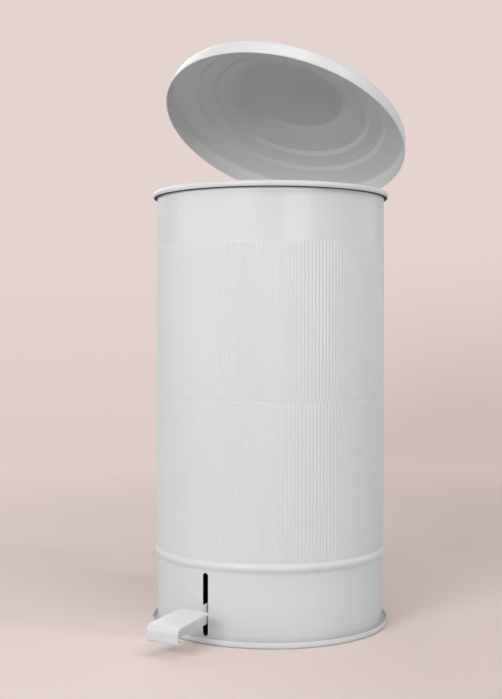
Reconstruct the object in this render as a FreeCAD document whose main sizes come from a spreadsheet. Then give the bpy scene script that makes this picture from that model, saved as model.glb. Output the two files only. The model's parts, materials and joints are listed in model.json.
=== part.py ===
import FreeCAD, Part
import math
import os
import re

import Sketcher

# A round steel pedal bin, in millimetres. The origin is on the floor at the bin's axis, +Z is up,
# the pedal points along -Y and the lid's hinge stands behind the shell at +Y. The bin is stored with
# its lid part open and its pedal part pressed: the lid and the pedal are drawn closed and level, and
# their Placements then swing them to that pose.

V = FreeCAD.Vector
X_AXIS = V(1, 0, 0)
Y_AXIS = V(0, 1, 0)
Z_AXIS = V(0, 0, 1)

SIZES = {
    # sheet metal
    "gauge": 0.8,
    "shell_radius": 125.7,
    "shell_low": 86.2,
    "shell_high": 469.5,
    "skirt_radius": 124.5,
    "skirt_low": 3.2,
    "bead_low": 75.6,
    "bead_arc": 6.7,
    "shell_overlap": 14,
    # the two rolled hoops, one round the mouth and one round the foot
    "rim_radius": 130.4,
    "rim_high": 473.6,
    "rim_lip": 467.9,
    "rim_sleeve": 22,
    "hoop_lip": 6.1,
    "hoop_sleeve": 7.0,
    "hoop_curl": 3.15,
    "seal_low": 466.9,
    "seal_deep": 3.5,
    # slots in the skirt for the pedal lever
    "slot_width": 6.6,
    "slot_low": 7.2,
    "slot_high": 72.4,
    "rear_slot_low": 28,
    "rear_slot_high": 67,
    # floor plate and the shelf that the bucket stands on
    "pan_low": 6.2,
    "pan_high": 7.2,
    "shelf_low": 84,
    "shelf_high": 85,
    "shelf_flange": 73,
    "shelf_ring": 107.5,
    "shelf_ring_wide": 2.5,
    "shelf_ring_rise": 3,
    # pedal lever and its pivot
    "pivot_back": 46,
    "pivot_up": 46.5,
    "axle_radius": 4,
    "axle_head": 1.8,
    "pedal_ear_out": 10.5,
    "pedal_ear_round": 9,
    "pedal_ear_foot": 14,
    "foot_half": 21,
    "foot_deep": 16,
    "foot_rivet_side": 15.5,
    "foot_rivet_back": 11,
    "spacer_radius": 7.5,
    "running_gap": 0.05,
    "side_gap": 0.4,
    "lever_gauge": 3,
    "lever_deep": 20.7,
    "lever_reach": 237,
    "lever_notch": 7,
    "lever_tilt": 5.6,
    "rear_arm": 126.67,
    "rear_droop": 4.45,
    "rear_half": 7,
    "tread_width": 37.5,
    "tread_gauge": 2,
    "tread_top": 9.2,
    "tread_back": 189,
    "tread_front": 245,
    "tread_bend": 7,
    "tread_drop": 17.5,
    "tread_curl": 4,
    "tread_return": 5,
    "tread_corner": 4,
    # hinge, crank and push rod
    "hinge_back": 198,
    "hinge_up": 444,
    "hinge_pin": 3,
    "lid_opening": 28,
    "crank": 25.33,
    "crank_droop": 22.25,
    "rod_radius": 2.5,
    "rod_side": 6.5,
    "rod_bend": 5,
    "rod_end": 6,
    "rod_clip": 1.2,
    "clip_wide": 2,
    "guide_half": 11,
    "guide_gauge": 3,
    "bush_wall": 2.5,
    "guide_rivet_side": 5,
    "ear_inner": 20,
    "ear_gauge": 2,
    "ear_round": 9,
    "saddle_back": 128.6,
    "saddle_low": 396,
    "saddle_high": 449,
    "saddle_rivet_side": 12,
    "saddle_rivet_low": 408,
    "saddle_rivet_high": 437,
    "hinge_tube": 6,
    "pin_head": 1.5,
    "cheek_inner": 12,
    "cheek_gauge": 2.5,
    "cheek_round": 8,
    "cheek_front": 106,
    "cheek_foot": 476,
    "heel_back": 141.5,
    "heel_up": 456,
    "web_back": 148,
    "web_top": 489,
    "web_gauge": 2.6,
    "web_end": 162,
    # lid, with heights counted from its edge
    "lid_level": 454.2,
    "lid_radius": 138.7,
    "lid_lip": 1.5,
    "lid_lip_high": 2.4,
    "lid_wall": 12,
    "lid_lean": 1.8,
    "lid_shoulder": 8.5,
    "shoulder_radius": 131.4,
    "shoulder_rise": 19.4,
    "outer_ring": 107,
    "outer_rise": 28.9,
    "inner_ring": 87,
    "inner_rise": 37.2,
    "flare_radius": 70,
    "flare_rise": 40.6,
    "disc_radius": 55.5,
    "disc_rise": 50.8,
    "crown_rise": 51.8,
    "step_run": 5,
    "step_rise": 4.1,
    # bucket and its bail
    "bucket_low": 85.4,
    "bucket_high": 432,
    "bucket_foot": 104.5,
    "bucket_mouth": 111,
    "bucket_lip": 115,
    "bucket_wall": 1.8,
    "bail_radius": 109.5,
    "bail_wire": 2,
    "bail_up": 438,
    "ear_out": 112.5,
    "ear_half": 6,
    "grip_radius": 5,
    "grip_angle": 28,
    # fasteners
    "rivet_shank": 2,
    "rivet_head": 5,
}

PLANES = {"across": "XZ_Plane", "along": "YZ_Plane", "flat": "XY_Plane"}

doc = FreeCAD.newDocument("PedalBin")
sheet = doc.addObject("Spreadsheet::Sheet", "Sizes")
for row, (alias, value) in enumerate(SIZES.items(), start=1):
    sheet.set(f"A{row}", alias)
    sheet.set(f"B{row}", str(value))
    sheet.setAlias(f"B{row}", alias)
doc.recompute()

nodes = []


def formula(text):
    """Write the sheet's name before every alias in an expression."""
    return re.sub(r"[a-z][a-z_]+", lambda m: f"Sizes.{m[0]}" if m[0] in SIZES else m[0], str(text))


def size(text):
    """The value of an expression in the sheet's aliases."""
    return float(sheet.evalExpression(formula(text)))


def bind(item, **sizes):
    """Bind properties of an object to expressions in the sheet's aliases."""
    for name, text in sizes.items():
        item.setExpression(name, formula(text))
    return item


def place(item, base=(0, 0, 0), axis=Z_AXIS, angle=0.0):
    """Turn an object about a line through the origin and then shift it; base holds expressions."""
    item.Placement = FreeCAD.Placement(V(*[size(part) for part in base]), FreeCAD.Rotation(axis, angle))
    return item


def node(item, label):
    """Name an object as one of the bin's sub-parts."""
    item.Label = label
    nodes.append(item)
    return item


# ---------------------------------------------------------------- sketched bodies


def new_body(name):
    return doc.addObject("PartDesign::Body", name)


def origin_item(body, role):
    return next(item for item in body.Origin.OriginFeatures if item.Role == role)


def new_sketch(body, plane, name):
    sketch = body.newObject("Sketcher::SketchObject", name)
    sketch.AttachmentSupport = [(origin_item(body, PLANES[plane]), "")]
    sketch.MapMode = "FlatFace"
    return sketch


def fix(sketch, kind, where, text):
    """Add one constraint and bind it to an expression."""
    index = sketch.addConstraint(Sketcher.Constraint(kind, *where, size(text)))
    sketch.setExpression(f"Constraints[{index}]", formula(text))


def arc_between(start, end, radius, turn):
    """The short arc from start to end; turn is +1 with its centre on the left, -1 on the right."""
    chord = end - start
    reach = max(radius**2 - (chord.Length / 2) ** 2, 0) ** 0.5
    left = V(-chord.y, chord.x, 0).normalize()
    centre = (start + end) * 0.5 + left * (reach * turn)
    first, last = (start, end) if turn > 0 else (end, start)
    from_angle = math.atan2(first.y - centre.y, first.x - centre.x)
    to_angle = math.atan2(last.y - centre.y, last.x - centre.x)
    if to_angle < from_angle:
        to_angle += 2 * math.pi
    return Part.ArcOfCircle(Part.Circle(centre, Z_AXIS, radius), from_angle, to_angle)


def outline(body, plane, name, corners):
    """A closed outline. A corner is (x, y) for a straight run to it, or (x, y, radius, turn) for an arc."""
    sketch = new_sketch(body, plane, name)
    points = [V(size(corner[0]), size(corner[1]), 0) for corner in corners]
    ends = []
    for number, corner in enumerate(corners):
        start = points[number - 1]
        end = points[number]
        if len(corner) == 2:
            edge = sketch.addGeometry(Part.LineSegment(start, end), False)
            ends.append((edge, 1, 2))
        else:
            arc = arc_between(start, end, size(corner[2]), corner[3])
            edge = sketch.addGeometry(arc, False)
            ends.append((edge, 1, 2) if corner[3] > 0 else (edge, 2, 1))
            fix(sketch, "Radius", (edge,), corner[2])
    for number, corner in enumerate(corners):
        edge, _, last = ends[number]
        following, first, _ = ends[(number + 1) % len(corners)]
        sketch.addConstraint(Sketcher.Constraint("Coincident", edge, last, following, first))
        fix(sketch, "DistanceX", (-1, 1, edge, last), corner[0])
        fix(sketch, "DistanceY", (-1, 1, edge, last), corner[1])
    return sketch


def circle(body, plane, name, centre, radius):
    sketch = new_sketch(body, plane, name)
    middle = V(size(centre[0]), size(centre[1]), 0)
    sketch.addGeometry(Part.Circle(middle, Z_AXIS, size(radius)), False)
    fix(sketch, "DistanceX", (-1, 1, 0, 3), centre[0])
    fix(sketch, "DistanceY", (-1, 1, 0, 3), centre[1])
    fix(sketch, "Radius", (0,), radius)
    return sketch


def revolve(name, corners):
    """A body turned about the bin's axis from an outline of (radius, height) corners."""
    body = new_body(name)
    feature = body.newObject("PartDesign::Revolution", f"{name}_turn")
    feature.Profile = outline(body, "across", f"{name}_outline", corners)
    feature.ReferenceAxis = (feature.Profile[0], ["V_Axis"])
    feature.Angle = 360
    return body


def pad(body, sketch, thickness):
    """Pad a sketch to both sides of its plane."""
    feature = body.newObject("PartDesign::Pad", f"{sketch.Name}_pad")
    feature.Profile = sketch
    feature.SideType = "Symmetric"
    return bind(feature, Length=thickness)


def pocket(body, sketch, depth, symmetric=True, reverse=False):
    """Pocket a sketch; the volume must fall."""
    doc.recompute()
    before = body.Shape.Volume
    feature = body.newObject("PartDesign::Pocket", f"{sketch.Name}_pocket")
    feature.Profile = sketch
    feature.SideType = "Symmetric" if symmetric else "One side"
    feature.Reversed = reverse
    bind(feature, Length=depth)
    doc.recompute()
    if body.Shape.Volume > before - 1:
        raise RuntimeError(f"{sketch.Name} cuts nothing")
    return feature


# ---------------------------------------------------------------- primitives and booleans


def cylinder(name, radius, length, base=(0, 0, 0), axis=Z_AXIS):
    """A cylinder that starts at base and runs along an axis."""
    item = bind(doc.addObject("Part::Cylinder", name), Radius=radius, Height=length)
    item.Placement = FreeCAD.Placement(V(*[size(part) for part in base]), FreeCAD.Rotation(Z_AXIS, axis))
    return item


def block(name, low, high):
    """A box between two corners."""
    item = doc.addObject("Part::Box", name)
    spans = [f"({top}) - ({bottom})" for bottom, top in zip(low, high)]
    bind(item, Length=spans[0], Width=spans[1], Height=spans[2])
    return place(item, low)


def cut(name, base, tool):
    item = doc.addObject("Part::Cut", name)
    item.Base = base
    item.Tool = tool
    return item


def fuse(name, parts):
    item = doc.addObject("Part::MultiFuse", name)
    item.Shapes = parts
    return item


def group(name, parts):
    """Several separate solids as one sub-part."""
    item = doc.addObject("Part::Compound", name)
    item.Links = parts
    return item


def ring(name, outer, inner, length, base, axis=X_AXIS):
    """A washer or bush."""
    disc = cylinder(f"{name}_disc", outer, length, base, axis)
    hole = cylinder(f"{name}_hole", inner, length, base, axis)
    return cut(name, disc, hole)


def cap(name, radius, base, axis):
    """The domed head of a rivet, with its flat side on base."""
    item = bind(doc.addObject("Part::Sphere", name), Radius=radius)
    item.Angle1 = 45
    sink = axis * (-size(radius) * 0.5**0.5)
    start = V(*[size(part) for part in base]) + sink
    item.Placement = FreeCAD.Placement(start, FreeCAD.Rotation(Z_AXIS, axis))
    return item


def rivet(name, base, axis, grip):
    """A rivet whose shank runs from base along an axis, with a head at each end."""
    steps = [part * size(grip) for part in axis]
    far = [f"({start}) + ({step})" for start, step in zip(base, steps)]
    shank = cylinder(f"{name}_shank", "rivet_shank", grip, base, axis)
    heads = [cap(f"{name}_near", "rivet_head", base, axis * -1), cap(f"{name}_far", "rivet_head", far, axis)]
    return fuse(name, [shank, *heads])


def rivets(label, places, axis, grip):
    """A node of rivets, and the solid that cuts their holes."""
    solids = [rivet(f"{label}_{number}", base, axis, grip) for number, base in enumerate(places)]
    holes = [
        cylinder(f"{label}_hole_{number}", "rivet_shank", grip, base, axis)
        for number, base in enumerate(places)
    ]
    node(group(f"{label}_group", solids), label)
    return fuse(f"{label}_holes", holes)


def swing(item, angle, centre):
    """Turn a drawn part about the X line through centre, which is (y, z)."""
    item.Placement = FreeCAD.Placement(
        V(0, 0, 0), FreeCAD.Rotation(X_AXIS, size(angle)), V(0, size(centre[0]), size(centre[1]))
    )
    return item


HINGE = ("hinge_back", "hinge_up")
PIVOT = ("pivot_back", "pivot_up")


def open_lid(item):
    return swing(item, "-lid_opening", HINGE)


def press_pedal(item):
    return swing(item, "lever_tilt", PIVOT)


# ---------------------------------------------------------------- the bin's body


def slot_outline(body, name, low, high):
    """A slot with round ends, in the plane across the bin."""
    half = "slot_width / 2"
    low_arc = f"{low} + {half}"
    high_arc = f"{high} - {half}"
    corners = [
        (f"-{half}", low_arc),
        ("0", low, half, 1),
        (half, low_arc, half, 1),
        (half, high_arc),
        ("0", high, half, 1),
        (f"-{half}", high_arc, half, 1),
    ]
    return outline(body, "across", name, corners)


def outer_shell(holes):
    inner = "shell_radius - gauge"
    tube = revolve(
        "shell_tube",
        [
            (inner, "shell_low"),
            ("shell_radius", "shell_low"),
            ("shell_radius", "shell_high"),
            (inner, "shell_high"),
        ],
    )
    node(cut("shell_drilled", tube, holes), "outer_shell")


def base_skirt():
    """The plain lower band, with a bead that the shell stands on and a slot at the front and back."""
    inner = "skirt_radius - gauge"
    sleeve = "shell_radius - gauge"
    sleeve_top = "shell_low + shell_overlap"
    body = revolve(
        "base_skirt_body",
        [
            (inner, "skirt_low"),
            ("skirt_radius", "skirt_low"),
            ("skirt_radius", "bead_low"),
            (sleeve, "shell_low", "bead_arc", 1),
            (sleeve, sleeve_top),
            (f"{sleeve} - gauge", sleeve_top),
            (f"{sleeve} - gauge", "shell_low"),
            (inner, "bead_low", "bead_arc", -1),
        ],
    )
    front = slot_outline(body, "front_slot", "slot_low", "slot_high")
    pocket(body, front, "rim_radius", symmetric=False, reverse=True)
    rear = slot_outline(body, "rear_slot", "rear_slot_low", "rear_slot_high")
    pocket(body, rear, "rim_radius", symmetric=False, reverse=False)
    node(body, "base_skirt")


def rim_hoop():
    """A sleeve inside the shell that curls outwards and ends in a lip over the shell's side."""
    sleeve = "(shell_radius - gauge)"
    curl = f"((rim_radius - {sleeve} + gauge) / 2)"
    hollow = f"({curl} - gauge)"
    middle = f"{sleeve} - gauge + {curl}"
    level = f"rim_high - {curl}"
    body = revolve(
        "rim_hoop_body",
        [
            (f"{sleeve} - gauge", f"{level} - rim_sleeve"),
            (sleeve, f"{level} - rim_sleeve"),
            (sleeve, level),
            (middle, f"{level} + {hollow}", hollow, -1),
            ("rim_radius - gauge", level, hollow, -1),
            ("rim_radius - gauge", "rim_lip"),
            ("rim_radius", "rim_lip"),
            ("rim_radius", level),
            (middle, "rim_high", curl, 1),
            (f"{sleeve} - gauge", level, curl, 1),
        ],
    )
    node(body, "rim_hoop")


def rim_seal():
    """A rubber ring that fills the gap between the shell and the hoop's lip."""
    lip = "rim_radius - gauge"
    top = "seal_low + seal_deep"
    corners = [("shell_radius", "seal_low"), (lip, "seal_low"), (lip, top), ("shell_radius", top)]
    node(revolve("rim_seal_body", corners), "rim_seal")


def base_hoop():
    """The foot: a sleeve inside the skirt, a flat tread on the floor and an upturned lip."""
    sleeve = "skirt_radius - gauge"
    hollow = "(hoop_curl - gauge)"
    body = revolve(
        "base_hoop_body",
        [
            (f"{sleeve} - gauge + hoop_curl", "0", "hoop_curl", 1),
            ("rim_radius - hoop_curl", "0"),
            ("rim_radius", "hoop_curl", "hoop_curl", 1),
            ("rim_radius", "hoop_lip"),
            ("rim_radius - gauge", "hoop_lip"),
            ("rim_radius - gauge", "hoop_curl"),
            ("rim_radius - hoop_curl", "gauge", hollow, -1),
            (f"{sleeve} - gauge + hoop_curl", "gauge"),
            (sleeve, "hoop_curl", hollow, -1),
            (sleeve, "hoop_sleeve"),
            (f"{sleeve} - gauge", "hoop_sleeve"),
            (f"{sleeve} - gauge", "hoop_curl"),
        ],
    )
    node(body, "base_hoop")


def base_pan():
    radius = "skirt_radius - 2 * gauge"
    body = revolve(
        "base_pan_body",
        [("0", "pan_low"), (radius, "pan_low"), (radius, "pan_high"), ("0", "pan_high")],
    )
    return body


def bucket_shelf():
    """A flanged disc inside the skirt, with a raised ring that keeps the bucket central."""
    edge = "skirt_radius - gauge"
    ring_out = "shelf_ring + shelf_ring_wide"
    ring_middle = "shelf_ring + shelf_ring_wide / 2"
    body = revolve(
        "bucket_shelf_body",
        [
            ("0", "shelf_low"),
            (f"{edge} - gauge", "shelf_low"),
            (f"{edge} - gauge", "shelf_flange"),
            (edge, "shelf_flange"),
            (edge, "shelf_high"),
            (ring_out, "shelf_high"),
            (ring_middle, "shelf_high + shelf_ring_rise"),
            ("shelf_ring", "shelf_high"),
            ("0", "shelf_high"),
        ],
    )
    node(body, "bucket_shelf")


# ---------------------------------------------------------------- hinge at the back


def shell_envelope(name):
    """The space inside the shell's outer face, which saddles and flanges are trimmed to."""
    return cylinder(name, "shell_radius", "rim_high", ("0", "0", "0"))


def tangent_corners(centre, radius, from_angle, to_angle, turn):
    """The two ends of an arc about a centre, as outline corners."""
    across, up = centre
    first = (f"{across} + {radius} * cos({from_angle})", f"{up} + {radius} * sin({from_angle})")
    last = (f"{across} + {radius} * cos({to_angle})", f"{up} + {radius} * sin({to_angle})")
    return [first, (*last, radius, turn)]


def hinge_bracket(holes):
    """Two ears on a saddle that is shaped to the shell."""
    width = "2 * (ear_inner + ear_gauge)"
    body = new_body("hinge_ears")
    ear = outline(
        body,
        "along",
        "hinge_ear",
        [
            ("shell_radius - 6", "saddle_low"),
            *tangent_corners(HINGE, "ear_round", -64, 0, 1),
            *tangent_corners(HINGE, "ear_round", 0, 88, 1)[1:],
            ("shell_radius - 6", "saddle_high"),
        ],
    )
    pad(body, ear, width)
    between = outline(
        body,
        "along",
        "between_ears",
        [
            ("saddle_back", "saddle_low - 5"),
            ("hinge_back + 15", "saddle_low - 5"),
            ("hinge_back + 15", "hinge_up + 15"),
            ("saddle_back", "hinge_up + 15"),
        ],
    )
    pocket(body, between, "2 * ear_inner")
    pocket(body, circle(body, "along", "ear_hole", HINGE, "hinge_pin"), width)
    trimmed = cut("hinge_bracket_trimmed", body, shell_envelope("hinge_bracket_envelope"))
    node(cut("hinge_bracket_drilled", trimmed, holes), "hinge_bracket")


def hinge_hardware():
    """The pin with its head and clip, and the washers beside the lid's cheeks."""
    out = "ear_inner + ear_gauge"
    start = (f"-({out}) - 1.8", *HINGE)
    shaft = cylinder("hinge_pin_shaft", "hinge_pin", f"2 * ({out}) + 5", start, X_AXIS)
    head = cylinder("hinge_pin_head", "hinge_pin + 2.5", "pin_head", start, X_AXIS)
    node(fuse("hinge_pin_fuse", [shaft, head]), "hinge_pin")
    clip = ring("hinge_clip_ring", "hinge_pin + 2.2", "hinge_pin", "1", (f"{out} + 0.3", *HINGE))
    node(clip, "hinge_pin_clip")
    gap = "cheek_inner + cheek_gauge + side_gap"
    width = f"ear_inner - ({gap})"
    right = ring("hinge_washer_right", "hinge_tube", "hinge_pin", width, (gap, *HINGE))
    left = ring("hinge_washer_left", "hinge_tube", "hinge_pin", width, ("-ear_inner", *HINGE))
    node(group("hinge_washer_pair", [right, left]), "hinge_washers")


# ---------------------------------------------------------------- lid


def lid_outer_corners():
    """The lid's outer side from its edge to its crown, as (radius, height) corners."""
    wall_foot = "lid_radius - gauge"
    return [
        ("lid_radius", "lid_level"),
        ("lid_radius", "lid_level + lid_lip_high"),
        (wall_foot, "lid_level + lid_lip_high + 0.6"),
        ("lid_radius - lid_lean", "lid_level + lid_wall"),
        ("shoulder_radius", "lid_level + shoulder_rise", "lid_shoulder", 1),
        ("outer_ring + step_run", "lid_level + outer_rise - step_rise"),
        ("outer_ring", "lid_level + outer_rise"),
        ("inner_ring + step_run", "lid_level + inner_rise - step_rise"),
        ("inner_ring", "lid_level + inner_rise"),
        ("flare_radius", "lid_level + flare_rise"),
        ("disc_radius", "lid_level + disc_rise"),
        ("0", "lid_level + crown_rise"),
    ]


def lid_shell():
    """A domed lid pressed with two ring steps and a flat disc, with a thickened edge."""
    inner = [
        ("0", "lid_level + crown_rise - gauge"),
        ("disc_radius - 0.4", "lid_level + disc_rise - gauge"),
        ("flare_radius - 0.2", "lid_level + flare_rise - gauge"),
        ("inner_ring - 0.4", "lid_level + inner_rise - gauge"),
        ("inner_ring + step_run - 0.4", "lid_level + inner_rise - step_rise - gauge"),
        ("outer_ring - 0.4", "lid_level + outer_rise - gauge"),
        ("outer_ring + step_run - 0.4", "lid_level + outer_rise - step_rise - gauge"),
        ("shoulder_radius - 0.2", "lid_level + shoulder_rise - gauge"),
        ("lid_radius - lid_lean - gauge", "lid_level + lid_wall", "lid_shoulder - gauge", -1),
        ("lid_radius - lid_lip", "lid_level + lid_lip_high + 0.6"),
        ("lid_radius - lid_lip", "lid_level"),
    ]
    body = revolve("lid_shell_body", lid_outer_corners() + inner)
    node(open_lid(body), "lid_shell")


def lid_arms():
    """Two cheeks joined by a web, trimmed to the lid's outside, that reach back to the hinge pin."""
    crank = (
        "(hinge_back - crank * cos(crank_droop))",
        "(hinge_up - crank * sin(crank_droop))",
    )
    width = "2 * (cheek_inner + cheek_gauge)"
    body = new_body("lid_cheeks")
    cheek = outline(
        body,
        "along",
        "lid_cheek",
        [
            ("cheek_front", "cheek_foot"),
            ("heel_back", "heel_up"),
            *tangent_corners(crank, "cheek_round", -142, -78, 1),
            *tangent_corners(HINGE, "cheek_round", -78, 0, 1),
            *tangent_corners(HINGE, "cheek_round", 0, 55, 1)[1:],
            ("web_back", "web_top"),
            ("cheek_front", "web_top"),
        ],
    )
    pad(body, cheek, width)
    under_web = "web_top - web_gauge"
    hollow = outline(
        body,
        "along",
        "cheek_hollow",
        [
            ("cheek_front - 10", "hinge_up - 30"),
            ("hinge_back + 20", "hinge_up - 30"),
            ("hinge_back + 20", "web_top + 10"),
            ("web_end", "web_top + 10"),
            ("web_end", "cheek_foot"),
            ("web_back - 0.8", under_web),
            ("cheek_front - 10", under_web),
        ],
    )
    pocket(body, hollow, "2 * cheek_inner")
    pin_hole = circle(body, "along", "cheek_hole", HINGE, "hinge_pin + running_gap")
    pocket(body, pin_hole, width)
    pocket(body, crank_slot(body), width)
    envelope = revolve("lid_envelope", lid_outer_corners() + [("0", "lid_level")])
    node(open_lid(cut("lid_arms_trimmed", body, envelope)), "lid_arms")
    tube = ring(
        "lid_tube_ring",
        "hinge_tube",
        "hinge_pin + running_gap",
        "2 * cheek_inner",
        ("-cheek_inner", *HINGE),
    )
    node(open_lid(tube), "lid_hinge_tube")


def crank_slot(body):
    """The slot in a cheek that the rod's upper end lies in; it runs along the crank."""
    half = "(rod_radius + 0.9)"
    near = "crank - 0.5"
    far = "crank + 2.6"

    def at(along, side):
        back = f"hinge_back - ({along}) * cos(crank_droop) + ({side}) * sin(crank_droop)"
        up = f"hinge_up - ({along}) * sin(crank_droop) - ({side}) * cos(crank_droop)"
        return back, up

    corners = [
        at(near, half),
        (*at(f"{near} - {half}", "0"), half, 1),
        (*at(near, f"-{half}"), half, 1),
        at(far, f"-{half}"),
        (*at(f"{far} + {half}", "0"), half, 1),
        (*at(far, half), half, 1),
    ]
    return outline(body, "along", "crank_slot", corners)


# ---------------------------------------------------------------- pedal


def pedal_lever():
    """A flat bar on edge: the front arm carries the tread and the drooping rear arm lifts the rod."""
    half = "lever_deep / 2"
    front = "pivot_back - lever_reach"
    notch = "pivot_back - tread_back + lever_notch"
    under_tread = "pivot_up + tread_top - tread_gauge"
    rod_hole = (
        "(pivot_back + rear_arm * cos(rear_droop))",
        "(pivot_up - rear_arm * sin(rear_droop))",
    )
    body = new_body("pedal_lever_body")
    bar = outline(
        body,
        "along",
        "lever_bar",
        [
            (f"{front} + 8", f"pivot_up - {half}"),
            ("pivot_back + 12", f"pivot_up - {half}"),
            *tangent_corners(rod_hole, "rear_half", -97, 0, 1),
            *tangent_corners(rod_hole, "rear_half", 0, 81, 1)[1:],
            ("pivot_back + 16", f"pivot_up + {half}"),
            (notch, f"pivot_up + {half}"),
            (notch, under_tread),
            (front, under_tread),
            (front, "pivot_up"),
        ],
    )
    pad(body, bar, "lever_gauge")
    axle_hole = circle(body, "along", "lever_axle_hole", PIVOT, "axle_radius + running_gap")
    pocket(body, axle_hole, "lever_gauge")
    rod = circle(body, "along", "lever_rod_hole", rod_hole, "rod_radius + 0.75")
    pocket(body, rod, "lever_gauge")
    node(press_pedal(body), "pedal_lever")


def pedal_tread():
    """A bent plate that sits on the lever: a rolled front, a short apron and a returned lip."""
    top = "pivot_up + tread_top"
    under = f"{top} - tread_gauge"
    back = "pivot_back - tread_back"
    front = "pivot_back - tread_front"
    foot = f"{top} - tread_drop"
    lip = f"{front} + tread_curl + tread_return"
    body = new_body("pedal_tread_body")
    plate = outline(
        body,
        "along",
        "tread_plate",
        [
            (back, under),
            (back, top),
            (f"{front} + tread_bend", top),
            (front, f"{top} - tread_bend", "tread_bend", 1),
            (front, f"{foot} + tread_curl"),
            (f"{front} + tread_curl", foot, "tread_curl", 1),
            (lip, foot),
            (lip, f"{foot} + tread_gauge"),
            (f"{front} + tread_curl", f"{foot} + tread_gauge"),
            (f"{front} + tread_gauge", f"{foot} + tread_curl", "tread_curl - tread_gauge", -1),
            (f"{front} + tread_gauge", f"{top} - tread_bend"),
            (f"{front} + tread_bend", under, "tread_bend - tread_gauge", -1),
        ],
    )
    pad(body, plate, "tread_width")
    plan = new_body("tread_plan_body")
    side = "tread_width / 2"
    plan_outline = outline(
        plan,
        "flat",
        "tread_plan",
        [
            (f"-{side}", f"{front} - 5"),
            (side, f"{front} - 5"),
            (side, f"{back} - tread_corner"),
            (f"{side} - tread_corner", back, "tread_corner", 1),
            (f"-{side} + tread_corner", back),
            (f"-{side}", f"{back} - tread_corner", "tread_corner", 1),
        ],
    )
    pad(plan, plan_outline, "4 * pivot_up")
    tread = doc.addObject("Part::Common", "tread_rounded")
    tread.Base = body
    tread.Tool = plan
    node(press_pedal(tread), "pedal_tread")


def pedal_pivot():
    """The floor bracket with its axle, spacers, clip and rivets."""
    rows = ["pivot_back - foot_rivet_back", "pivot_back + foot_rivet_back"]
    sides = ["-foot_rivet_side", "foot_rivet_side"]
    places = [(side, row, "pan_low") for side in sides for row in rows]
    holes = rivets("pedal_bracket_rivets", places, Z_AXIS, "pan_high - pan_low + 2")
    node(cut("base_pan_drilled", base_pan(), holes), "base_pan")
    ear_width = "2 * pedal_ear_out"
    body = new_body("pedal_ears")
    ear = outline(
        body,
        "along",
        "pedal_ear",
        [
            ("pivot_back - pedal_ear_foot", "pan_high"),
            ("pivot_back + pedal_ear_foot", "pan_high"),
            *tangent_corners(PIVOT, "pedal_ear_round", 12, 90, 1),
            *tangent_corners(PIVOT, "pedal_ear_round", 90, 168, 1)[1:],
        ],
    )
    pad(body, ear, ear_width)
    between = outline(
        body,
        "along",
        "between_pedal_ears",
        [
            ("pivot_back - 20", "pan_high + ear_gauge"),
            ("pivot_back + 20", "pan_high + ear_gauge"),
            ("pivot_back + 20", "pivot_up + 20"),
            ("pivot_back - 20", "pivot_up + 20"),
        ],
    )
    pocket(body, between, f"{ear_width} - 2 * ear_gauge")
    pocket(body, circle(body, "along", "pedal_ear_hole", PIVOT, "axle_radius"), ear_width)
    plate = block(
        "pedal_foot",
        ("-foot_half", "pivot_back - foot_deep", "pan_high"),
        ("foot_half", "pivot_back + foot_deep", "pan_high + ear_gauge"),
    )
    bracket = fuse("pedal_bracket_fuse", [body, plate])
    node(cut("pedal_bracket_drilled", bracket, holes), "pedal_bracket")

    start = ("-pedal_ear_out - axle_head", *PIVOT)
    shaft = cylinder("axle_shaft", "axle_radius", f"{ear_width} + 6", start, X_AXIS)
    head = cylinder("axle_head", "axle_radius + 2", "axle_head", start, X_AXIS)
    node(fuse("axle_fuse", [shaft, head]), "pedal_axle")
    beside = ("pedal_ear_out + 0.4", *PIVOT)
    clip = ring("axle_clip_ring", "axle_radius + 2.2", "axle_radius", "rod_clip", beside)
    node(clip, "pedal_axle_clip")
    inside = "lever_gauge / 2 + side_gap"
    width = f"pedal_ear_out - ear_gauge - ({inside})"
    from_left = ("-pedal_ear_out + ear_gauge", *PIVOT)
    right = ring("pedal_spacer_right", "spacer_radius", "axle_radius", width, (inside, *PIVOT))
    left = ring("pedal_spacer_left", "spacer_radius", "axle_radius", width, from_left)
    node(group("pedal_spacer_pair", [right, left]), "pedal_spacers")


# ---------------------------------------------------------------- push rod


ROD_BACK = "hinge_back - crank * cos(crank_droop - lid_opening)"
ROD_HIGH = "hinge_up - crank * sin(crank_droop - lid_opening)"
ROD_LOW = "pivot_up - rear_arm * sin(rear_droop - lever_tilt)"


def quarter_bend(name, centre, axis, turn):
    """A quarter torus about centre, in the plane across the bin."""
    item = bind(doc.addObject("Part::Torus", name), Radius1="rod_bend", Radius2="rod_radius")
    item.Angle3 = 90
    place(item, centre)
    item.Placement.Rotation = FreeCAD.Rotation(Y_AXIS, turn) * FreeCAD.Rotation(axis, 90)
    return item


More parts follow.
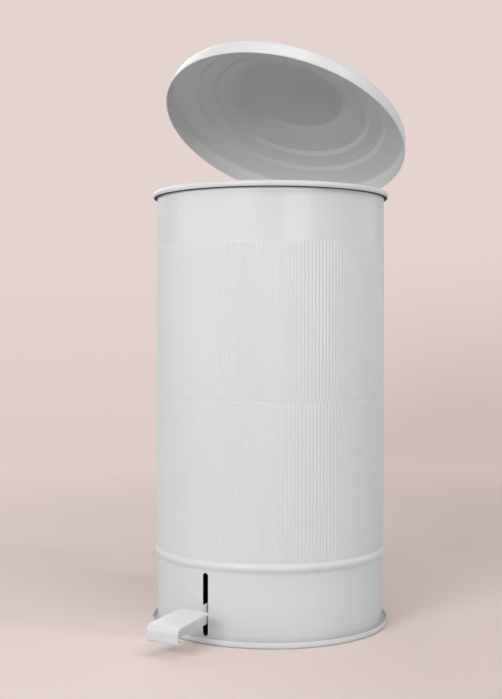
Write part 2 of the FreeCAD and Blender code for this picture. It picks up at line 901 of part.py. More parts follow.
def push_rod():
    """An upright wire with an end turned into the lever and the other into the lid's cheek."""
    low_bend = ("rod_side - rod_bend", ROD_BACK, f"{ROD_LOW} + rod_bend")
    high_bend = ("rod_side + rod_bend", ROD_BACK, f"{ROD_HIGH} - rod_bend")
    tip = "cheek_inner + cheek_gauge + 4.5"
    low_start = ("-rod_end", ROD_BACK, ROD_LOW)
    parts = [
        cylinder("rod_low_end", "rod_radius", "rod_side - rod_bend + rod_end", low_start, X_AXIS),
        cylinder(
            "rod_upright",
            "rod_radius",
            f"({ROD_HIGH}) - ({ROD_LOW}) - 2 * rod_bend",
            ("rod_side", ROD_BACK, f"{ROD_LOW} + rod_bend"),
        ),
        cylinder(
            "rod_high_end",
            "rod_radius",
            f"{tip} - rod_side - rod_bend",
            ("rod_side + rod_bend", ROD_BACK, ROD_HIGH),
            X_AXIS,
        ),
        quarter_bend("rod_low_bend", low_bend, X_AXIS, 90),
        quarter_bend("rod_high_bend", high_bend, X_AXIS, -90),
    ]
    node(fuse("push_rod_fuse", parts), "push_rod")
    clip_radius = "rod_radius + clip_wide"
    low_clip = ("-rod_end + 1.4", ROD_BACK, ROD_LOW)
    high_clip = (f"{tip} - 3", ROD_BACK, ROD_HIGH)
    low = ring("rod_clip_low", clip_radius, "rod_radius", "rod_clip", low_clip)
    high = ring("rod_clip_high", clip_radius, "rod_radius", "rod_clip", high_clip)
    node(group("rod_clip_pair", [low, high]), "rod_clips")


def rod_guide(name, low, flange_low, flange_high, holes):
    """A tongue that stands out from the shell and holds the rod's bush, on a riveted flange."""
    left = "rod_side - guide_half"
    right = "rod_side + guide_half"
    inside = "shell_radius - 12"
    centre = ("rod_side", ROD_BACK, low)
    tongue = block(f"{name}_tongue", (left, inside, low), (right, ROD_BACK, f"{low} + guide_gauge"))
    nose = cylinder(f"{name}_nose", "guide_half", "guide_gauge", centre)
    flange = block(
        f"{name}_flange",
        (left, inside, flange_low),
        (right, "saddle_back", flange_high),
    )
    solid = fuse(f"{name}_fuse", [tongue, nose, flange])
    trimmed = cut(f"{name}_trimmed", solid, shell_envelope(f"{name}_envelope"))
    bush_radius = "rod_radius + bush_wall"
    bore = cylinder(f"{name}_bore", bush_radius, "guide_gauge", centre)
    bored = cut(f"{name}_bored", trimmed, bore)
    node(cut(f"{name}_drilled", bored, holes), name)
    return ring(
        f"{name}_bush",
        bush_radius,
        "rod_radius + running_gap",
        "guide_gauge",
        centre,
        Z_AXIS,
    )


# ---------------------------------------------------------------- bucket


def inner_bucket():
    """A tapered bucket with a rolled lip."""
    wall = "bucket_wall"
    body = revolve(
        "inner_bucket_body",
        [
            ("0", "bucket_low"),
            ("bucket_foot - 2", "bucket_low"),
            ("bucket_foot", "bucket_low + 2", "2", 1),
            ("bucket_mouth", "bucket_high - 4"),
            ("bucket_lip - 1", "bucket_high - 4"),
            ("bucket_lip", "bucket_high - 3", "1", 1),
            ("bucket_lip", "bucket_high"),
            (f"bucket_mouth - {wall}", "bucket_high"),
            (f"bucket_foot - {wall}", f"bucket_low + {wall} + 2"),
            (f"bucket_foot - {wall} - 2", f"bucket_low + {wall}", "2", -1),
            ("0", f"bucket_low + {wall}"),
        ],
    )
    node(body, "inner_bucket")


def bail_ear(name, low_x, high_x):
    """A round-topped ear that stands on the bucket's lip."""
    width = f"({high_x}) - ({low_x})"
    side = (low_x, "0", "bail_up")
    plate = block(f"{name}_plate", (low_x, "-ear_half", "bucket_high"), (high_x, "ear_half", "bail_up"))
    crown = cylinder(f"{name}_crown", "ear_half", width, side, X_AXIS)
    hole = cylinder(f"{name}_hole", "bail_wire + running_gap", width, side, X_AXIS)
    return cut(name, fuse(f"{name}_fuse", [plate, crown]), hole)


def bail():
    right = bail_ear("bail_ear_right", "ear_out", "ear_out + 2")
    left = bail_ear("bail_ear_left", "-ear_out - 2", "-ear_out")
    node(group("bail_ear_pair", [right, left]), "bail_ears")
    wire = bind(doc.addObject("Part::Torus", "bail_loop"), Radius1="bail_radius", Radius2="bail_wire")
    wire.Angle3 = 180
    place(wire, ("0", "0", "bail_up"), Z_AXIS, 180)
    run = "ear_out + 5 - bail_radius"
    ends = [
        cylinder("bail_end_right", "bail_wire", run, ("bail_radius", "0", "bail_up"), X_AXIS),
        cylinder("bail_end_left", "bail_wire", run, ("-ear_out - 5", "0", "bail_up"), X_AXIS),
    ]
    node(fuse("bail_fuse", [wire, *ends]), "bail_handle")
    arc = size("grip_angle")
    sleeve = bind(doc.addObject("Part::Torus", "grip_sleeve"), Radius1="bail_radius", Radius2="grip_radius")
    sleeve.Angle3 = arc
    place(sleeve, ("0", "0", "bail_up"), Z_AXIS, 270 - arc / 2)
    core = bind(doc.addObject("Part::Torus", "grip_core"), Radius1="bail_radius", Radius2="bail_wire")
    place(core, ("0", "0", "bail_up"))
    node(cut("grip_cut", sleeve, core), "bail_grip")


# ---------------------------------------------------------------- build and write


# each guide's tongue level, and the low and high edge of its flange
GUIDES = {"rod_guide_upper": (376, 356, 376), "rod_guide_lower": (120, 123, 143)}
SHELL_GRIP = "saddle_back - shell_radius + gauge + 1.3"
SHELL_FACE = "shell_radius - gauge - 1.3"


def build():
    sides = ["-saddle_rivet_side", "saddle_rivet_side"]
    heights = ["saddle_rivet_low", "saddle_rivet_high"]
    saddle = [(side, SHELL_FACE, height) for side in sides for height in heights]
    saddle_holes = rivets("hinge_bracket_rivets", saddle, Y_AXIS, SHELL_GRIP)
    flanges = [
        (f"rod_side {side} guide_rivet_side", SHELL_FACE, f"({low} + {high}) / 2")
        for _, low, high in GUIDES.values()
        for side in "-+"
    ]
    flange_holes = rivets("rod_guide_rivets", flanges, Y_AXIS, SHELL_GRIP)
    holes = fuse("shell_holes", [saddle_holes, flange_holes])
    outer_shell(holes)
    base_skirt()
    rim_hoop()
    rim_seal()
    base_hoop()
    bucket_shelf()
    hinge_bracket(saddle_holes)
    hinge_hardware()
    lid_shell()
    lid_arms()
    pedal_lever()
    pedal_tread()
    pedal_pivot()
    push_rod()
    bushes = [rod_guide(name, *map(str, levels), flange_holes) for name, levels in GUIDES.items()]
    node(group("rod_bush_pair", bushes), "rod_bushes")
    inner_bucket()
    bail()


def check_and_write():
    """Stop on any failed object; then write each sub-part."""
    doc.recompute()
    failed = [item.Name for item in doc.Objects if {"Invalid", "Error"} & set(item.State)]
    failed += [item.Label for item in nodes if item.Shape.isNull() or not item.Shape.isValid()]
    if failed:
        raise RuntimeError(f"failed: {failed}")
    os.makedirs("parts", exist_ok=True)
    for item in nodes:
        item.Shape.exportStep(f"parts/{item.Label}.step")
        box = item.Shape.BoundBox
        print(
            f"{item.Label:22s} solids {len(item.Shape.Solids):2d} volume {item.Shape.Volume:10.1f}"
            f"  y {box.YMin:7.1f} {box.YMax:7.1f}  z {box.ZMin:6.1f} {box.ZMax:6.1f}"
        )


build()
check_and_write()
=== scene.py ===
from math import ceil, cos, degrees, pi, radians, sin, sqrt, tan

import bmesh
import bpy
from mathutils import Matrix, Vector
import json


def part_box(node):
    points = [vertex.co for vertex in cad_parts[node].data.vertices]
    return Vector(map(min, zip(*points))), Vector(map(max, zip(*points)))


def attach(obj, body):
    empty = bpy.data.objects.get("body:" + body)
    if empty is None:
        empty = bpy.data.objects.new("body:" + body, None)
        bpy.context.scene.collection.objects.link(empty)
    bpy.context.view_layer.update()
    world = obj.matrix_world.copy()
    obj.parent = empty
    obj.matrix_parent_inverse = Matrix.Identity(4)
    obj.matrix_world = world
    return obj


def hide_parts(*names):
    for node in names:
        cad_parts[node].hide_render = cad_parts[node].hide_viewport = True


# A white pedal bin. Shapes are given in millimetres with the lid closed and the pedal level, and are
# turned to the stored pose as they are built. Positions come from the frame.

MM = 0.001
AROUND = 256

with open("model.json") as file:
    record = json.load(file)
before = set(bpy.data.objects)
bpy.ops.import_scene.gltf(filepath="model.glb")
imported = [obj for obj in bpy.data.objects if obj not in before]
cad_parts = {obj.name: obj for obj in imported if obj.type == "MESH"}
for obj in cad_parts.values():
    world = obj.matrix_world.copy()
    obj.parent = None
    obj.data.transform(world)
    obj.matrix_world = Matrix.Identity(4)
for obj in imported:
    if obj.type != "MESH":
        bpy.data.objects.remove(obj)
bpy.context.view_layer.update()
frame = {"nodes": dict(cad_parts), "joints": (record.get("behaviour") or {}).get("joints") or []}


def mm_box(node):
    """A CAD node's lowest and highest corner, in millimetres."""
    low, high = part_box(node)
    return low / MM, high / MM


# ---------------------------------------------------------------- lines and profiles


def rounded(corners, dims=2, closed=False, step=10.0):
    """Points along a line through the corners. A corner's extra number is its bend radius."""
    points = []
    count = len(corners)
    for index, corner in enumerate(corners):
        here = Vector(corner[:dims])
        radius = corner[dims] if len(corner) > dims else 0
        if not radius or (not closed and index in (0, count - 1)):
            points.append(here)
            continue
        back = (Vector(corners[index - 1][:dims]) - here).normalized()
        ahead = (Vector(corners[(index + 1) % count][:dims]) - here).normalized()
        half = back.angle(ahead) / 2
        sweep = pi - 2 * half
        centre = here + (back + ahead).normalized() * radius / sin(half)
        first = here + back * radius / tan(half) - centre
        last = here + ahead * radius / tan(half) - centre
        parts = max(2, ceil(degrees(sweep) / step))
        for part in range(parts + 1):
            share = part / parts
            blend = first * sin((1 - share) * sweep) + last * sin(share * sweep)
            points.append(centre + blend / sin(sweep))
    return points


def offset(points, distance):
    """The same open line moved sideways, to its left for a positive distance."""
    moved = []
    last = len(points) - 1
    for index, point in enumerate(points):
        before = point - points[max(index - 1, 0)]
        after = points[min(index + 1, last)] - point
        if before.length == 0:
            before = after
        if after.length == 0:
            after = before
        before = before.normalized()
        after = after.normalized()
        along = (before + after).normalized()
        side = Vector((-along.y, along.x))
        moved.append(point + side * distance / max(along.dot(before), 0.5))
    return moved


def half_turn(start, end, parts=5):
    """Points of the half circle from start to end, without its ends; it bulges to the right."""
    centre = (start + end) / 2
    arm = start - centre
    turned = []
    for part in range(1, parts):
        angle = pi * part / parts
        turned.append(
            centre
            + Vector((arm.x * cos(angle) - arm.y * sin(angle), arm.x * sin(angle) + arm.y * cos(angle)))
        )
    return turned


def sheet_profile(corners, gauge, step=10.0):
    """A closed outline of sheet metal: the line is its right face, and its ends are rounded."""
    face = rounded(corners, step=step)
    other = offset(face, gauge)
    return list(face) + half_turn(face[-1], other[-1]) + other[::-1] + half_turn(other[0], face[0])


# ---------------------------------------------------------------- meshes


def new_piece(name, vertices, faces, turn=None):
    """A mesh object from points in millimetres, with its faces turned outwards."""
    mesh = bpy.data.meshes.new(name)
    mesh.from_pydata([tuple(Vector(v) * MM) for v in vertices], [], faces)
    grid = bmesh.new()
    grid.from_mesh(mesh)
    bmesh.ops.recalc_face_normals(grid, faces=grid.faces)
    grid.to_mesh(mesh)
    grid.free()
    if turn is not None:
        mesh.transform(turn)
    piece = bpy.data.objects.new(name, mesh)
    bpy.context.scene.collection.objects.link(piece)
    return piece


def lathe(name, profile, around=AROUND, turn=None, warp=None):
    """A closed profile of (radius, height) points turned about the Z axis."""
    vertices = []
    rows = []
    for radius, height in profile:
        if radius < 1e-6:
            rows.append([len(vertices)] * around)
            vertices.append((0, 0, height))
            continue
        rows.append(range(len(vertices), len(vertices) + around))
        for column in range(around):
            angle = 2 * pi * column / around
            out, up = warp(column, radius, height) if warp else (radius, height)
            vertices.append((out * cos(angle), out * sin(angle), up))
    faces = []
    for index, low in enumerate(rows):
        high = rows[(index + 1) % len(rows)]
        for column in range(around):
            beside = (column + 1) % around
            corners = []
            for corner in (low[column], low[beside], high[beside], high[column]):
                if corner not in corners:
                    corners.append(corner)
            if len(corners) > 2:
                faces.append(corners)
    return new_piece(name, vertices, faces, turn)


def swept(name, path, radius, sides):
    """A round wire with crowned ends along 3-D points; radius is a number or a function of the share run."""
    count = len(path)
    lengths = [0.0]
    for index in range(1, count):
        lengths.append(lengths[-1] + (path[index] - path[index - 1]).length)
    tangents = []
    for index in range(count):
        ahead = path[min(index + 1, count - 1)] - path[max(index - 1, 0)]
        tangents.append(ahead.normalized())
    side = tangents[0].orthogonal().normalized()
    vertices = []
    rings = []
    for index in range(count):
        tangent = tangents[index]
        side = (side - tangent * side.dot(tangent)).normalized()
        other = tangent.cross(side)
        size = radius(lengths[index] / lengths[-1]) if callable(radius) else radius
        stations = [(0.0, 1.0)]
        if index == 0:
            stations = [(-0.5, 0.55), (-0.38, 0.86), (0.0, 1.0)]
        if index == count - 1:
            stations = [(0.0, 1.0), (0.38, 0.86), (0.5, 0.55)]
        for along, share in stations:
            centre = path[index] + tangent * along * size * 0.5
            rings.append(range(len(vertices), len(vertices) + sides))
            for step in range(sides):
                angle = 2 * pi * step / sides
                spoke = side * cos(angle) + other * sin(angle)
                vertices.append(centre + spoke * size * share)
    faces = []
    for low, high in zip(rings, rings[1:]):
        for step in range(sides):
            beside = (step + 1) % sides
            faces.append((low[step], low[beside], high[beside], high[step]))
    faces.append(list(rings[0])[::-1])
    faces.append(list(rings[-1]))
    return new_piece(name, vertices, faces)


def bevelled_copy(name, node, width):
    """A CAD node's mesh with its flat faces joined and its edges broken."""
    mesh = frame["nodes"][node].data.copy()
    mesh.name = name
    grid = bmesh.new()
    grid.from_mesh(mesh)
    bmesh.ops.remove_doubles(grid, verts=grid.verts, dist=2e-6)
    bmesh.ops.dissolve_limit(
        grid, angle_limit=radians(0.6), verts=grid.verts, edges=grid.edges, use_dissolve_boundaries=False
    )
    bmesh.ops.recalc_face_normals(grid, faces=grid.faces)
    grid.to_mesh(mesh)
    grid.free()
    if "custom_normal" in mesh.attributes:
        mesh.attributes.remove(mesh.attributes["custom_normal"])
    piece = bpy.data.objects.new(name, mesh)
    bpy.context.scene.collection.objects.link(piece)
    add_bevel(piece, width, angle=32)
    return piece


def add_bevel(piece, width, angle=40, segments=2):
    bevel = piece.modifiers.new("edges", "BEVEL")
    bevel.width = width * MM
    bevel.segments = segments
    bevel.limit_method = "ANGLE"
    bevel.angle_limit = radians(angle)
    bevel.use_clamp_overlap = True


def settle(piece, material, slot, body, *nodes, angle=38):
    """Applies the modifiers, smooths the shading and hands the piece to its body."""
    graph = bpy.context.evaluated_depsgraph_get()
    mesh = bpy.data.meshes.new_from_object(piece.evaluated_get(graph))
    piece.modifiers.clear()
    piece.data = mesh
    mesh.name = piece.name
    mesh.shade_smooth()
    mesh.set_sharp_from_angle(angle=radians(angle))
    mesh.materials.clear()
    mesh.materials.append(material)
    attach(piece, body)
    if nodes:
        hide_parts(*nodes)
    return piece


# ---------------------------------------------------------------- materials


class Shader:
    """A node tree under construction, with texture coordinates fixed to the piece."""

    def __init__(self, name):
        self.material = bpy.data.materials.new(name)
        self.material.use_nodes = True
        self.tree = self.material.node_tree
        self.surface = self.tree.nodes["Principled BSDF"]
        self.place = self.tree.nodes.new("ShaderNodeTexCoord").outputs["Object"]

    def put(self, kind, values=None, **settings):
        made = self.tree.nodes.new(kind)
        for key, value in settings.items():
            setattr(made, key, value)
        for key, value in (values or {}).items():
            socket = made.inputs[key]
            if isinstance(value, bpy.types.NodeSocket):
                self.tree.links.new(value, socket)
            else:
                socket.default_value = value
        return made

    def noise(self, scale, detail=3.0, roughness=0.5):
        values = {"Vector": self.place, "Scale": scale, "Detail": detail, "Roughness": roughness}
        return self.put("ShaderNodeTexNoise", values).outputs["Fac"]

    def spread(self, value, low, high, start=0.3, end=0.7):
        """Maps a noise value from its usual range to low..high."""
        values = {"Value": value, "From Min": start, "From Max": end, "To Min": low, "To Max": high}
        return self.put("ShaderNodeMapRange", values).outputs[0]

    def mix(self, share, first, second, blend="MIX"):
        made = self.put("ShaderNodeMix", data_type="RGBA", blend_type=blend)
        for key, value in (("Factor_Float", share), ("A_Color", first), ("B_Color", second)):
            socket = next(s for s in made.inputs if s.identifier == key)
            if isinstance(value, bpy.types.NodeSocket):
                self.tree.links.new(value, socket)
            else:
                socket.default_value = value if key == "Factor_Float" else (*value, 1)
        return next(s for s in made.outputs if s.identifier == "Result_Color")

    def maths(self, operation, first, second):
        made = self.put("ShaderNodeMath", operation=operation)
        for index, value in enumerate((first, second)):
            if isinstance(value, bpy.types.NodeSocket):
                self.tree.links.new(value, made.inputs[index])
            else:
                made.inputs[index].default_value = value
        return made.outputs[0]

    def bump(self, height, strength, distance, below=None):
        values = {"Height": height, "Strength": strength, "Distance": distance}
        if below is not None:
            values["Normal"] = below
        return self.put("ShaderNodeBump", values).outputs[0]

    def set(self, **sockets):
        for key, value in sockets.items():
            socket = self.surface.inputs[key.replace("_", " ")]
            if isinstance(value, bpy.types.NodeSocket):
                self.tree.links.new(value, socket)
            else:
                socket.default_value = value
        return self.material


def powder_coat(name, pale, shade, gloss):
    """Baked powder coat: a fine orange peel, faint mottling and a slightly uneven gloss."""
    coat = Shader(name)
    mottle = coat.spread(coat.noise(14, 4, 0.55), 0, 1)
    speck = coat.spread(coat.noise(900, 2), 0.97, 1.0)
    colour = coat.mix(mottle, shade, pale)
    grey = coat.put("ShaderNodeCombineColor", {0: speck, 1: speck, 2: speck}).outputs[0]
    colour = coat.mix(1.0, colour, grey, "MULTIPLY")
    peel = coat.noise(520, 2, 0.45)
    waves = coat.noise(60, 2, 0.4)
    normal = coat.bump(waves, 0.12, 0.0006)
    normal = coat.bump(peel, 0.10, 0.00012, normal)
    rough = coat.spread(coat.noise(38, 3, 0.6), gloss - 0.035, gloss + 0.045)
    return coat.set(
        Base_Color=colour,
        Roughness=rough,
        Normal=normal,
        IOR=1.48,
        Coat_Weight=0.12,
        Coat_Roughness=0.05,
        Coat_IOR=1.5,
    )


def zinc(name, pale, shade, gloss):
    """Zinc plate: a soft crystalline mottle with a fine grain."""
    coat = Shader(name)
    cells = coat.put("ShaderNodeTexVoronoi", {"Vector": coat.place, "Scale": 240.0}).outputs["Distance"]
    grain = coat.noise(90, 5, 0.6)
    share = coat.maths("MULTIPLY", coat.spread(grain, 0, 1), coat.spread(cells, 0.55, 1, 0, 0.8))
    colour = coat.mix(share, shade, pale)
    rough = coat.spread(coat.noise(300, 4, 0.6), gloss - 0.08, gloss + 0.1)
    normal = coat.bump(coat.noise(700, 3, 0.6), 0.12, 0.00008)
    return coat.set(Base_Color=colour, Metallic=1.0, Roughness=rough, Normal=normal)


def moulded(name, pale, shade, gloss, grain=1400):
    """Moulded plastic with a fine eroded grain."""
    coat = Shader(name)
    colour = coat.mix(coat.spread(coat.noise(22, 4, 0.6), 0, 1), shade, pale)
    rough = coat.spread(coat.noise(70, 3, 0.6), gloss - 0.05, gloss + 0.06)
    normal = coat.bump(coat.noise(grain, 2, 0.6), 0.22, 0.00012)
    return coat.set(Base_Color=colour, Roughness=rough, Normal=normal, IOR=1.5)


BODY_PAINT = powder_coat("body_paint", (0.795, 0.795, 0.79), (0.775, 0.776, 0.775), 0.36)
LID_PAINT = powder_coat("lid_paint", (0.795, 0.795, 0.79), (0.775, 0.776, 0.775), 0.34)
PEDAL_PAINT = powder_coat("pedal_paint", (0.79, 0.79, 0.785), (0.765, 0.766, 0.765), 0.40)
ZINC = zinc("zinc_steel", (0.66, 0.66, 0.65), (0.50, 0.51, 0.52), 0.36)
BUCKET = moulded("bucket_plastic", (0.105, 0.106, 0.11), (0.08, 0.081, 0.085), 0.46)
GRIP = moulded("grip_plastic", (0.055, 0.055, 0.058), (0.04, 0.04, 0.042), 0.5, 1800)
# Black for the rim seal. In the gap under the rim this black is partly painted shade.
BLACK_FOR_SEAL_AND_SHADE = moulded("seal_rubber", (0.022, 0.022, 0.023), (0.014, 0.014, 0.015), 0.62, 2200)
NYLON = moulded("bush_plastic", (0.74, 0.72, 0.66), (0.66, 0.64, 0.58), 0.42)


# ---------------------------------------------------------------- poses the parts are drawn for

hinge = next(j for j in frame["joints"] if j["name"] == "lid_hinge")
pivot = next(j for j in frame["joints"] if j["name"] == "pedal_pivot")


def swing(joint, angle):
    """The turn about a joint's axis that takes a closed lid or a level pedal to the stored pose."""
    at = Vector(joint["pos_m"])
    turn = Matrix.Rotation(radians(angle), 4, Vector(joint["axis"]))
    return Matrix.Translation(at) @ turn @ Matrix.Translation(-at)


LID_ANGLE = 28
PEDAL_ANGLE = 5.6
OPEN_LID = swing(hinge, LID_ANGLE)
PRESSED = swing(pivot, PEDAL_ANGLE)

# ---------------------------------------------------------------- shell with its flutes

shell_low, shell_high = mm_box("outer_shell")
SHELL_RADIUS = shell_high.x
SHELL_TOP = shell_high.z
SHELL_FOOT = shell_low.z - 1.0
GAUGE = 0.8
FLUTES = 200
FLUTE_SAMPLES = 8
FLUTE_HEIGHT = 0.40
FLUTE_TOP = 413.5
FLUTE_JOIN = 250.0
FLUTE_FOOT = 86.6
FLUTE_END = 2.6
# Half the plain gap between the two bands, the upper band's shift in flutes, and the flute's sharpness.
FLUTE_GAP = 0.4
UPPER_SHIFT = 0.38
FLUTE_POWER = 0.8


def end_rows(level, way):
    """Heights that follow a rounded flute end, from its tip inwards."""
    return [level + way * FLUTE_END * share for share in (0, 0.04, 0.14, 0.3, 0.5, 0.75, 1.0)]


def flute_share(level):
    """How far the flutes stand out at a height, from 0 to 1, and the band they belong to."""
    upper = level > FLUTE_JOIN
    ends = (FLUTE_JOIN + FLUTE_GAP, FLUTE_TOP) if upper else (FLUTE_FOOT, FLUTE_JOIN - FLUTE_GAP)
    inside = min(level - ends[0], ends[1] - level) / FLUTE_END
    if inside <= 0:
        return 0.0, upper
    if inside >= 1:
        return 1.0, upper
    return sqrt(1 - (1 - inside) ** 2), upper


def shell_warp(column, radius, level):
    if radius < SHELL_RADIUS - FLUTE_HEIGHT - 0.1:
        return radius, level
    share, upper = flute_share(level)
    phase = 2 * pi * (column / FLUTE_SAMPLES + (UPPER_SHIFT if upper else 0.0))
    wave = (0.5 + 0.5 * cos(phase)) ** FLUTE_POWER
    return radius + FLUTE_HEIGHT * share * wave, level


face = SHELL_RADIUS - FLUTE_HEIGHT
levels = [SHELL_FOOT, SHELL_FOOT + 0.5, FLUTE_FOOT - 0.25]
levels += end_rows(FLUTE_FOOT, 1)
levels += [120, 160, 200, 230]
levels += end_rows(FLUTE_JOIN - FLUTE_GAP, -1)[::-1]
levels += end_rows(FLUTE_JOIN + FLUTE_GAP, 1)
levels += [290, 330, 370, 400]
levels += end_rows(FLUTE_TOP, -1)[::-1]
levels += [FLUTE_TOP + 0.25, FLUTE_TOP + 1.5, 430, 450, SHELL_TOP]
back = SHELL_RADIUS - GAUGE
profile = [(face, level) for level in levels]
profile += [(back, SHELL_TOP), (back, 300), (back, SHELL_FOOT + 0.3)]
shell = lathe("fluted_shell", profile, around=FLUTES * FLUTE_SAMPLES, warp=shell_warp)
settle(shell, BODY_PAINT, "body_paint", "bin", "outer_shell", angle=60)

# ---------------------------------------------------------------- skirt, hoops and floor

skirt_low, skirt_high = mm_box("base_skirt")
SKIRT_RADIUS = 124.5
SLOT_HALF = 3.3
FRONT_SLOT = (7.2, 72.4)
REAR_SLOT = (28, 67)
CUT_FROM = 100
CUT_TO = 140


def slotted(piece, low, high, front):
    """Cuts a slot with round ends through one side of a skirt."""
    side = -1 if front else 1
    bend = SLOT_HALF - 0.01
    corners = [
        (-SLOT_HALF, low, bend),
        (SLOT_HALF, low, bend),
        (SLOT_HALF, high, bend),
        (-SLOT_HALF, high, bend),
    ]
    ring = rounded(corners, closed=True, step=15)
    count = len(ring)
    near = [(x, side * CUT_FROM, z) for x, z in ring]
    far = [(x, side * CUT_TO, z) for x, z in ring]
    faces = [[i, (i + 1) % count, count + (i + 1) % count, count + i] for i in range(count)]
    faces += [list(range(count)), list(range(count, 2 * count))]
    cutter = new_piece("slot_cutter", near + far, faces)
    opening = piece.modifiers.new("slot", "BOOLEAN")
    opening.operation = "DIFFERENCE"
    opening.solver = "EXACT"
    opening.object = cutter
    return cutter


skirt_profile = sheet_profile(
    [
        (SKIRT_RADIUS, skirt_low.z),
        (SKIRT_RADIUS, 40),
        (SKIRT_RADIUS, 74.8, 2.2),
        (128.3, 80.6, 5.0),
        (124.9, 86.2, 1.0),
        (124.9, skirt_high.z),
    ],
    GAUGE,
)
skirt = lathe("banded_skirt", skirt_profile)
cutters = [
    slotted(skirt, *FRONT_SLOT, True),
    slotted(skirt, *REAR_SLOT, False),
]
add_bevel(skirt, 0.22, 50)
settle(skirt, BODY_PAINT, "body_paint", "bin", "base_skirt")
for cutter in cutters:
    bpy.data.objects.remove(cutter)

rim_low, rim_high = mm_box("rim_hoop")
CURL = 3.15
rim_face = [
    (124.1, rim_low.z),
    (124.1, rim_high.z, CURL - 0.01),
    (rim_high.x, rim_high.z, CURL - 0.01),
    (rim_high.x, 469.6, 2.4),
    (129.5, 467.9),
]
rim = lathe("rolled_rim", sheet_profile(rim_face[::-1], GAUGE, step=8))
settle(rim, BODY_PAINT, "body_paint", "bin", "rim_hoop")

# A black ring set in the gap under the rolled rim. It is partly a seal and partly painted shade: its black
# stands in for the deep shadow in that gap.
seal_low, seal_high = mm_box("rim_seal")
seal_face = [
    (SHELL_RADIUS, seal_low.z, 0.5),
    (seal_high.x - 0.5, seal_low.z, 0.8),
    (seal_high.x - 0.9, seal_high.z),
    (SHELL_RADIUS, seal_high.z),
]
seal = lathe("seal_and_shade_ring", rounded(seal_face, closed=True, step=25))
settle(seal, BLACK_FOR_SEAL_AND_SHADE, "seal_rubber", "bin", "rim_seal")

base_high = mm_box("base_hoop")[1]
base_face = [
    (122.9, base_high.z),
    (122.9, 0, CURL - 0.01),
    (base_high.x, 0, CURL - 0.01),
    (base_high.x, 6.1),
]
base = lathe("rolled_foot", sheet_profile(base_face, GAUGE, step=8))
settle(base, BODY_PAINT, "body_paint", "bin", "base_hoop")

# ---------------------------------------------------------------- lid

LID_LEVEL = 454.2
lid_face = [
    (138.7, 0.9),
    (138.7, 2.4, 0.9),
    (137.9, 3.0, 1.2),
    (136.9, 12.0, 4.0),
    (135.8, 17.6, 5.5),
    (131.0, 19.2, 4.0),
    (112, 24.8, 2.2),
    (107, 28.9, 1.8),
    (92, 33.1, 2.2),
    (87, 37.2, 1.8),
    (70, 40.6, 55),
    (55.5, 50.8, 1.2),
    (30, 51.4, 60),
    (0, 51.8),
]


def lid_path(corners):
    return [Vector((point.x, point.y + LID_LEVEL)) for point in rounded(corners, step=6)]


outer = lid_path(lid_face)
inner = offset(outer, GAUGE)[::-1]
inner = [point for point in inner if point.y > LID_LEVEL + 3.4]
inner[0].x = 0
hem = [
    Vector((137.1, LID_LEVEL + 3.2)),
    Vector((136.95, LID_LEVEL + 2.6)),
    Vector((136.9, LID_LEVEL + 1.2)),
    Vector((137.1, LID_LEVEL + 0.45)),
    Vector((137.55, LID_LEVEL + 0.06)),
    Vector((138.05, LID_LEVEL)),
    Vector((138.5, LID_LEVEL + 0.3)),
]
lid = lathe("domed_lid", outer + inner + hem, around=320, turn=OPEN_LID)
settle(lid, LID_PAINT, "lid_paint", "lid", "lid_shell")

# ---------------------------------------------------------------- pedal

PIVOT_BACK = 46
PIVOT_UP = 46.5
TREAD_HALF = 18.75
TREAD_GAUGE = 2.0
TREAD_RISE = 9.2
TREAD_NEAR = 189
TREAD_FAR = 245
APRON_HEIGHT = 17.5
TOP = PIVOT_UP + TREAD_RISE
BACK = PIVOT_BACK - TREAD_NEAR
FRONT = PIVOT_BACK - TREAD_FAR
FOOT = TOP - APRON_HEIGHT


def tread():
    """A strip bent to a rolled front, a short apron and a returned lip, with round rear corners."""
    middle = TREAD_GAUGE / 2
    line = rounded(
        [
            (BACK, TOP - middle),
            (FRONT + middle, TOP - middle, 7 - middle),
            (FRONT + middle, FOOT + middle, 4 - middle),
            (FRONT + 9, FOOT + middle),
        ],
        step=7,
    )
    corner = 4.0
    ends = [line[0] + Vector((-corner * (1 - cos(radians(a))), 0)) for a in (0, 18, 36, 54, 72, 90)]
    line = ends + line[1:]
    columns = [-1, -0.985, -0.9, -0.5, 0, 0.5, 0.9, 0.985, 1]
    vertices = []
    for row, point in enumerate(line):
        inset = corner - corner * sin(radians(row * 18)) if row < 6 else 0
        half = TREAD_HALF - inset
        vertices += [(half * share, point.x, point.y) for share in columns]
    wide = len(columns)
    faces = []
    for row in range(len(line) - 1):
        for column in range(wide - 1):
            start = row * wide + column
            faces.append((start, start + 1, start + wide + 1, start + wide))
    piece = new_piece("bent_tread", vertices, faces, PRESSED)
    thick = piece.modifiers.new("gauge", "SOLIDIFY")
    thick.thickness = TREAD_GAUGE * MM
    thick.offset = 0
    thick.use_even_offset = True
    add_bevel(piece, 0.5, 50, 3)
    return piece


settle(tread(), PEDAL_PAINT, "pedal_paint", "pedal", "pedal_tread", angle=50)
lever = bevelled_copy("foot_lever", "pedal_lever", 0.4)
settle(lever, PEDAL_PAINT, "pedal_paint", "pedal", "pedal_lever")

# ---------------------------------------------------------------- hinge, guides and fasteners

